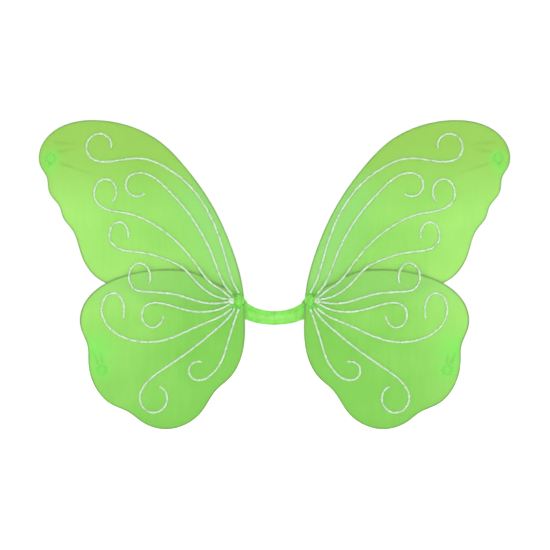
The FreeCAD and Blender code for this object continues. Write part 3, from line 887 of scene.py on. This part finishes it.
def half_band_shape():
    """The +X half of the band: a flat soft tube, full of lengthways folds, open at the back of its end."""
    seam_x = box_of("centre_stitches")[1][X]
    top, bottom = sleeve_edges()
    curve = np.polyfit(top[:, 0] ** 2, (top[:, 1] + bottom[:, 1]) / 2, 1)
    width = np.polyfit(top[:, 0] ** 2, (top[:, 1] - bottom[:, 1]) / 2, 1)
    turn = full_turn(BAND_COLUMNS)
    facing = np.cos(turn)  # 1 on the front, -1 on the back
    rise = np.sin(turn)
    squared = np.sign(facing) * np.abs(facing) ** 0.45
    thin = 0.35 * np.abs(rise) ** 3
    back_y = SLEEVE_HIGH[Y]
    end_front = FLAP_END + 1.2 * MM * np.clip(rise, 0, 1)
    end_back = SLEEVE_HIGH[X] + 0.6 * MM
    end = end_back + (end_front - end_back) * smoothstep((facing + 0.55) / 0.5)

    def layer(shares, inset):
        rows = []
        for share in shares:
            x = BAND_SEAM + (end - BAND_SEAM) * share
            out = smoothstep((x - FORWARD_START) / FORWARD_LONG)
            front_y = SLEEVE_LOW[Y] - FORWARD * out
            pinch = np.exp(-(x / PINCH_REACH) ** 2)
            half_deep = (back_y - front_y) / 2 - 0.35 * MM * pinch - inset
            flare = smoothstep((x - FLARE_START) / FLARE_LONG)
            half_wide = np.polyval(width, x ** 2) + (0.40 + 0.25 * pinch + 0.15 * flare) * MM - inset
            lean = 0.4 + 0.6 * smoothstep(x / (26 * MM))
            folds = (0.30 * np.sin(7 * turn + 0.6 + x * 40) + 0.18 * np.sin(12 * turn + 2.1 - x * 90)
                     + 0.10 * np.sin(19 * turn + 4.0 + x * 150)) * MM * lean
            middle_y = (front_y + back_y) / 2
            middle_z = np.polyval(curve, x ** 2) + 0.80 * MM * flare
            pulled = STITCH_PULL * np.exp(-((x - seam_x) / STITCH_REACH) ** 2) * np.clip(-facing, 0, 1)
            y = middle_y - (half_deep * (1 - thin) + folds * 0.55 - 0.30 * MM - pulled) * squared
            z = middle_z + (half_wide + folds * 0.12) * np.sign(rise) * np.abs(rise) ** 0.9
            rows.append(np.stack([x, y, z], axis=1))
        return rows

    out_rows = layer(np.linspace(0, 1, BAND_ROWS), 0.0)
    in_rows = layer(np.linspace(1, 0.55, BAND_ROWS // 3), CLOTH)
    points = np.array(out_rows + in_rows)
    faces = tube_faces(len(points), BAND_COLUMNS)
    x = points[..., X]
    # painted light across the front middle of the band, strongest at the centre
    lit_middle = np.exp(-((rise + 0.12) / 0.42) ** 2)[None] * np.clip(facing, 0, 1)[None] ** 0.3
    pale = lit_middle * (0.55 + 0.45 * np.cos(np.clip(x / (30 * MM), 0, 1) * math.pi))
    # painted shade in the folds, along the curled top and bottom edges and at the pinched seam in the
    # middle
    fold = np.sin(7 * turn + 0.6 + x * 40) * 0.6 + np.sin(12 * turn + 2.1 - x * 90) * 0.4
    curl_shade = np.exp(-((np.abs(rise) - 0.86) / 0.08) ** 2)[None]
    crease = np.clip(-fold * 0.5 + 0.05, 0, 1) * 0.7 + curl_shade * 0.55
    crease = crease + np.exp(-(x / (0.8 * MM)) ** 2) * 0.35
    values = {"pale": pale.ravel(), "crease": np.clip(crease, 0, 1).ravel()}
    return (points.reshape(-1, 3), turned(faces)), values


def build_band(cloth):
    shape, values = half_band_shape()
    for side, sign in SIDES.items():
        piece = add_piece(f"{side}_half_band", shape, cloth, sign, values)
        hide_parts("centre_sleeve")
        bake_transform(piece)


# ---- arm loops

STRANDS = 4  # strands each way in the braid
BRAID_PITCH = 9 * MM
EYE_GAP = 0.05 * MM  # free space between an eye and the stem's tape
EYE_THICK = 1.0 * MM
EYE_WIDE = 1.5 * MM
WHIP_R = 0.25 * MM  # half the thickness of the whipping's thread


def loop_line():
    """Middle line of the arm cord from the upper eye out and back to the lower eye."""
    low, high = box_of("right_arm_loop")
    whip_high = box_of("right_loop_whipping")[1]
    cord_r = half_of("right_loop_whipping")[Y] - 2 * WHIP_R
    top_z = whip_high[Z] - cord_r - 2 * WHIP_R
    centre_z = (low[Z] + high[Z]) / 2
    start_x = whip_high[X]
    reach = high[X] - cord_r - start_x
    half = (high[Z] - low[Z]) / 2 - cord_r
    side = [(0.0, (top_z - centre_z) / half), (0.153, 0.315), (0.318, 0.753), (0.612, 1.0), (0.894, 0.708)]
    outline = [(start_x + reach * a, centre_z + half * b) for a, b in side]
    outline.append((start_x + reach, centre_z))
    outline += [(x, 2 * centre_z - z) for x, z in outline[-2::-1]]
    eye_x = STEM[X] + 2.0 * MM
    ends = [(eye_x, top_z), (eye_x, 2 * centre_z - top_z)]
    path = [ends[0]] + outline + [ends[1]]
    points = [(x, STEM[Y], z) for x, z in path]
    return even_line(spline(points, 40), 0.55 * MM), cord_r


def braid(line, radius):
    """Round braid: STRANDS strands each way, passing over and under each other, round a core."""
    normal, binormal = frames_along(line)
    along = np.arange(len(line)) * np.linalg.norm(line[1] - line[0])
    spin = 2 * math.pi * along / BRAID_PITCH
    strand_r = radius * 0.30
    middle_r = radius - strand_r - 0.06 * MM
    shapes = [tube(line, radius * 0.72, 10)]
    for way in (1, -1):
        depth = middle_r + way * 0.09 * MM * np.cos(STRANDS * spin)
        for number in range(STRANDS):
            angle = way * spin + number * 2 * math.pi / STRANDS
            offset = normal * np.cos(angle)[:, None] + binormal * np.sin(angle)[:, None]
            shapes.append(tube(line + offset * depth[:, None], strand_r, 6))
    return join_shapes(shapes)


def eye_shape(z):
    """The cord's end, pressed flat and sewn into an eye round the stem."""
    steps, sides = 48, 12
    turn = full_turn(steps)[:, None]
    around = full_turn(sides)[None]
    half_thick = EYE_THICK / 2
    half_wide = EYE_WIDE / 2 * (0.93 + 0.07 * np.cos(12 * turn))
    out = TAPE_R + EYE_GAP + half_thick * (1 + np.cos(around))
    points = np.stack([STEM[X] + out * np.cos(turn), STEM[Y] + out * np.sin(turn),
                       z + half_wide * np.sin(around)], axis=-1)
    return points.reshape(-1, 3), grid_faces(steps, sides, close_rows=True, close_columns=True)


def build_arm_loops(elastic, thread):
    line, cord_r = loop_line()
    levels = (line[0][Z], line[-1][Z])
    cord = join_shapes([braid(line, cord_r)] + [eye_shape(z) for z in levels])
    turns = half_of("right_loop_whipping")[X] / WHIP_R
    wound = []
    for z in levels:
        centre = np.array([middle_of("right_loop_whipping")[X], STEM[Y], z])
        wound.append(coil(centre, (1, 0, 0), cord_r + WHIP_R, WHIP_R, turns, 2 * WHIP_R))
    add_pair("arm_cord", cord, elastic, "arm_loop", "loop")
    add_pair("cord_whipping", join_shapes(wound), thread, "loop_whipping", "loop")


# ---- glitter

FLAKE_SPACING = 0.50 * MM  # about one flake for each square of this side
FLAKE_R = (0.13 * MM, 0.24 * MM)
FLAKE_TILT = 0.55
FLAKE_LIFT = (0.10 * MM, 0.26 * MM)  # how far a flake's middle stands off the CAD surface
FACES_FRONT = -0.15  # flakes lie only where the surface's normal has a lower y than this


def add_displace(node, name, size, strength, level):
    """Roughens a node's surface with a cloud pattern whose lumps have the given size."""
    pattern = bpy.data.textures.new(name, "CLOUDS")
    pattern.noise_scale = size
    pattern.noise_depth = 2
    rough = node.modifiers.new(name, "DISPLACE")
    rough.texture = pattern
    rough.texture_coords = "LOCAL"
    rough.strength = strength
    rough.mid_level = level


def roughen(node):
    """Dried glue: an even fine skin first, then thicker and thinner stretches, then grit."""
    skin = node.modifiers.new("skin", "REMESH")
    skin.mode = "VOXEL"
    skin.voxel_size = 0.34 * MM
    skin.use_smooth_shade = True
    add_displace(node, "thickness", size=3.0 * MM, strength=0.80 * MM, level=0.46)
    add_displace(node, "grit", size=0.60 * MM, strength=0.42 * MM, level=0.56)


def flakes_on(nodes, seed):
    """Hexagonal flakes scattered over the front of the glue, each with its own tilt."""
    chance = np.random.RandomState(seed)
    corners, faces, tint = [], [], []
    hexagon = np.arange(6) * math.pi / 3
    total = 0
    for node in nodes:
        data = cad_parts[node].data
        data.calc_loop_triangles()
        points = points_of(node)
        index = np.empty(len(data.loop_triangles) * 3, int)
        data.loop_triangles.foreach_get("vertices", index)
        a, b, c = (points[index.reshape(-1, 3)[:, k]] for k in range(3))
        cross = np.cross(b - a, c - a)
        area = lengths(cross) / 2
        normal = cross / np.maximum(area[:, None] * 2, 1e-15)
        area = np.where(normal[:, Y] < FACES_FRONT, area, 0.0)
        count = int(area.sum() / FLAKE_SPACING ** 2)
        picked = chance.choice(len(area), count, p=area / area.sum())
        u, v = chance.rand(count, 1), chance.rand(count, 1)
        over = (u + v) > 1
        u, v = np.where(over, 1 - u, u), np.where(over, 1 - v, v)
        spot = a[picked] + (b - a)[picked] * u + (c - a)[picked] * v
        facing = normal[picked] + chance.normal(0, FLAKE_TILT, (count, 3))
        facing /= lengths(facing)[:, None]
        spot = spot + normal[picked] * chance.uniform(*FLAKE_LIFT, (count, 1))
        across = np.cross(facing, chance.normal(0, 1, (count, 3)))
        across /= lengths(across)[:, None]
        ring = rings(across, np.cross(facing, across), hexagon)
        size = chance.uniform(*FLAKE_R, (count, 1, 1))
        corners.append((spot[:, None] + ring * size).reshape(-1, 3))
        faces.append(total + np.arange(count * 6).reshape(-1, 6))
        tint.append(np.repeat(chance.rand(count), 6))
        total += count * 6
    shape = np.concatenate(corners), np.concatenate(faces).tolist()
    return shape, {"chance": np.concatenate(tint)}


def build_glitter(glue, flake):
    parts = ["scroll_%d" % number for number in range(1, 10)] + ["root_glitter"]
    shape, values = flakes_on(["right_" + part for part in parts], SEED)
    for side, sign in SIDES.items():
        for part in parts:
            paint_node(f"{side}_{part}", glue)
            roughen(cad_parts[f"{side}_{part}"])
        piece = add_piece(f"{side}_flakes", shape, flake, sign, values)
        piece.data.polygons.foreach_set("use_smooth", [False] * len(piece.data.polygons))
        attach(piece, f"{side}_wing")


# ---- CAD nodes that keep their shape


def paint_node(name, material):
    """Gives a CAD node one material, in every slot that it has."""
    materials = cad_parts[name].data.materials
    if not materials:
        materials.append(material)
    for number in range(len(materials)):
        materials[number] = material


def paint_nodes(wire, thread, tape, tape_elastic, glue_drop):
    paint_node("centre_elastic", tape_elastic)
    paint_node("centre_stitches", thread)
    finishes = {"upper_wire": wire, "lower_wire": wire, "root_lashing": tape, "stem_tape": tape,
                "stem_cap": glue_drop}
    for side in SIDES:
        for part, material in finishes.items():
            paint_node(f"{side}_{part}", material)


# ---- stage

FLOOR_HALF = 3.0  # half of the floor's side, in metres
FLOOR_GAP = 0.06  # free space between the wings and the floor
VIEW_SHARE = 1.1647  # width of the picture over the wings' span
LENS = 85.0  # in mm, as is the sensor's width
SENSOR = 36.0


def floor_material():
    """Pale floor that is bright enough to fade into the background, and can't be seen from below."""
    shader = Shader("pale_floor")
    grain = shader.between(shader.noise(0.02, 4.0), 0.3, 0.7, 0.0, 1.0)
    paint = shader.mix(grain, colour(0.86, 0.86, 0.86), colour(0.90, 0.90, 0.90))
    matt = shader.put("BsdfDiffuse", {"Color": paint})
    glow = shader.put("Emission", {"Color": colour(1, 1, 1), "Strength": 0.45})
    lit = shader.put("AddShader", {0: matt, 1: glow})
    below = shader.add("NewGeometry").outputs["Backfacing"]
    return shader.finish(shader.put("MixShader", {0: below, 1: lit, 2: shader.put("BsdfTransparent")}))


def add_floor(low):
    half, height = FLOOR_HALF, low[Z] - FLOOR_GAP
    corners = [(-half, -half, height), (half, -half, height), (half, half, height), (-half, half, height)]
    mesh = bpy.data.meshes.new("floor")
    mesh.from_pydata(corners, [], [(0, 1, 2, 3)])
    mesh.materials.append(floor_material())
    new_object("floor", mesh)


def add_world():
    """White all round: full white to the eye, a little softer as a light."""
    world = bpy.data.worlds.new("studio")
    bpy.context.scene.world = world
    world.use_nodes = True
    nodes, links = world.node_tree.nodes, world.node_tree.links
    nodes.clear()
    seen = nodes.new("ShaderNodeLightPath")
    strength = nodes.new("ShaderNodeMapRange")
    strength.inputs["To Min"].default_value = 0.78
    strength.inputs["To Max"].default_value = 1.02
    sky = nodes.new("ShaderNodeBackground")
    sky.inputs["Color"].default_value = colour(1, 1, 1)
    output = nodes.new("ShaderNodeOutputWorld")
    links.new(seen.outputs["Is Camera Ray"], strength.inputs["Value"])
    links.new(strength.outputs["Result"], sky.inputs["Strength"])
    links.new(sky.outputs[0], output.inputs["Surface"])


def add_light(name, place, target, size, power):
    data = bpy.data.lights.new(name, "AREA")
    data.shape = "DISK"
    data.size = size
    data.energy = power
    light = new_object(name, data)
    light.location = place
    light.rotation_euler = (Vector(target) - Vector(place)).to_track_quat("-Z", "Y").to_euler()


def add_camera(low, high):
    """Straight on from the glitter side, a short telephoto, with the whole span and a margin in view."""
    distance = (high[X] - low[X]) * VIEW_SHARE * LENS / SENSOR
    data = bpy.data.cameras.new("camera")
    data.lens = LENS
    data.sensor_width = SENSOR
    camera = new_object("camera", data)
    camera.location = (0.5 * MM, KNOT[Y] - distance, (low[Z] + high[Z]) / 2 - 0.5 * MM)
    camera.rotation_euler = (math.pi / 2, 0, 0)
    data.clip_end = 20.0
    bpy.context.scene.camera = camera


def add_stage(low, high):
    add_floor(low)
    add_world()
    middle = (low + high) / 2
    add_light("key", (0.0, -1.7, 1.5), middle, 1.4, 11.0)
    add_light("fill_right", (1.6, -1.2, 0.2), middle, 1.2, 4.0)
    add_light("fill_left", (-1.6, -1.2, 0.2), middle, 1.2, 4.0)
    add_light("back", (0.0, 1.8, 0.9), middle, 1.4, 7.0)
    add_camera(low, high)
    bpy.context.scene.view_settings.view_transform = "Standard"


def main():
    thread = twisted_thread()
    cloth = soft_nylon()
    build_covers(wing_nylon())
    build_knots(cloth, thread)
    build_band(cloth)
    build_arm_loops(braided_elastic(), thread)
    build_glitter(glitter_glue(), glitter_flake())
    paint_nodes(coated_wire(), thread, stretch_tape(), woven_elastic(), clear_glue())
    add_stage(*cad_box)


main()
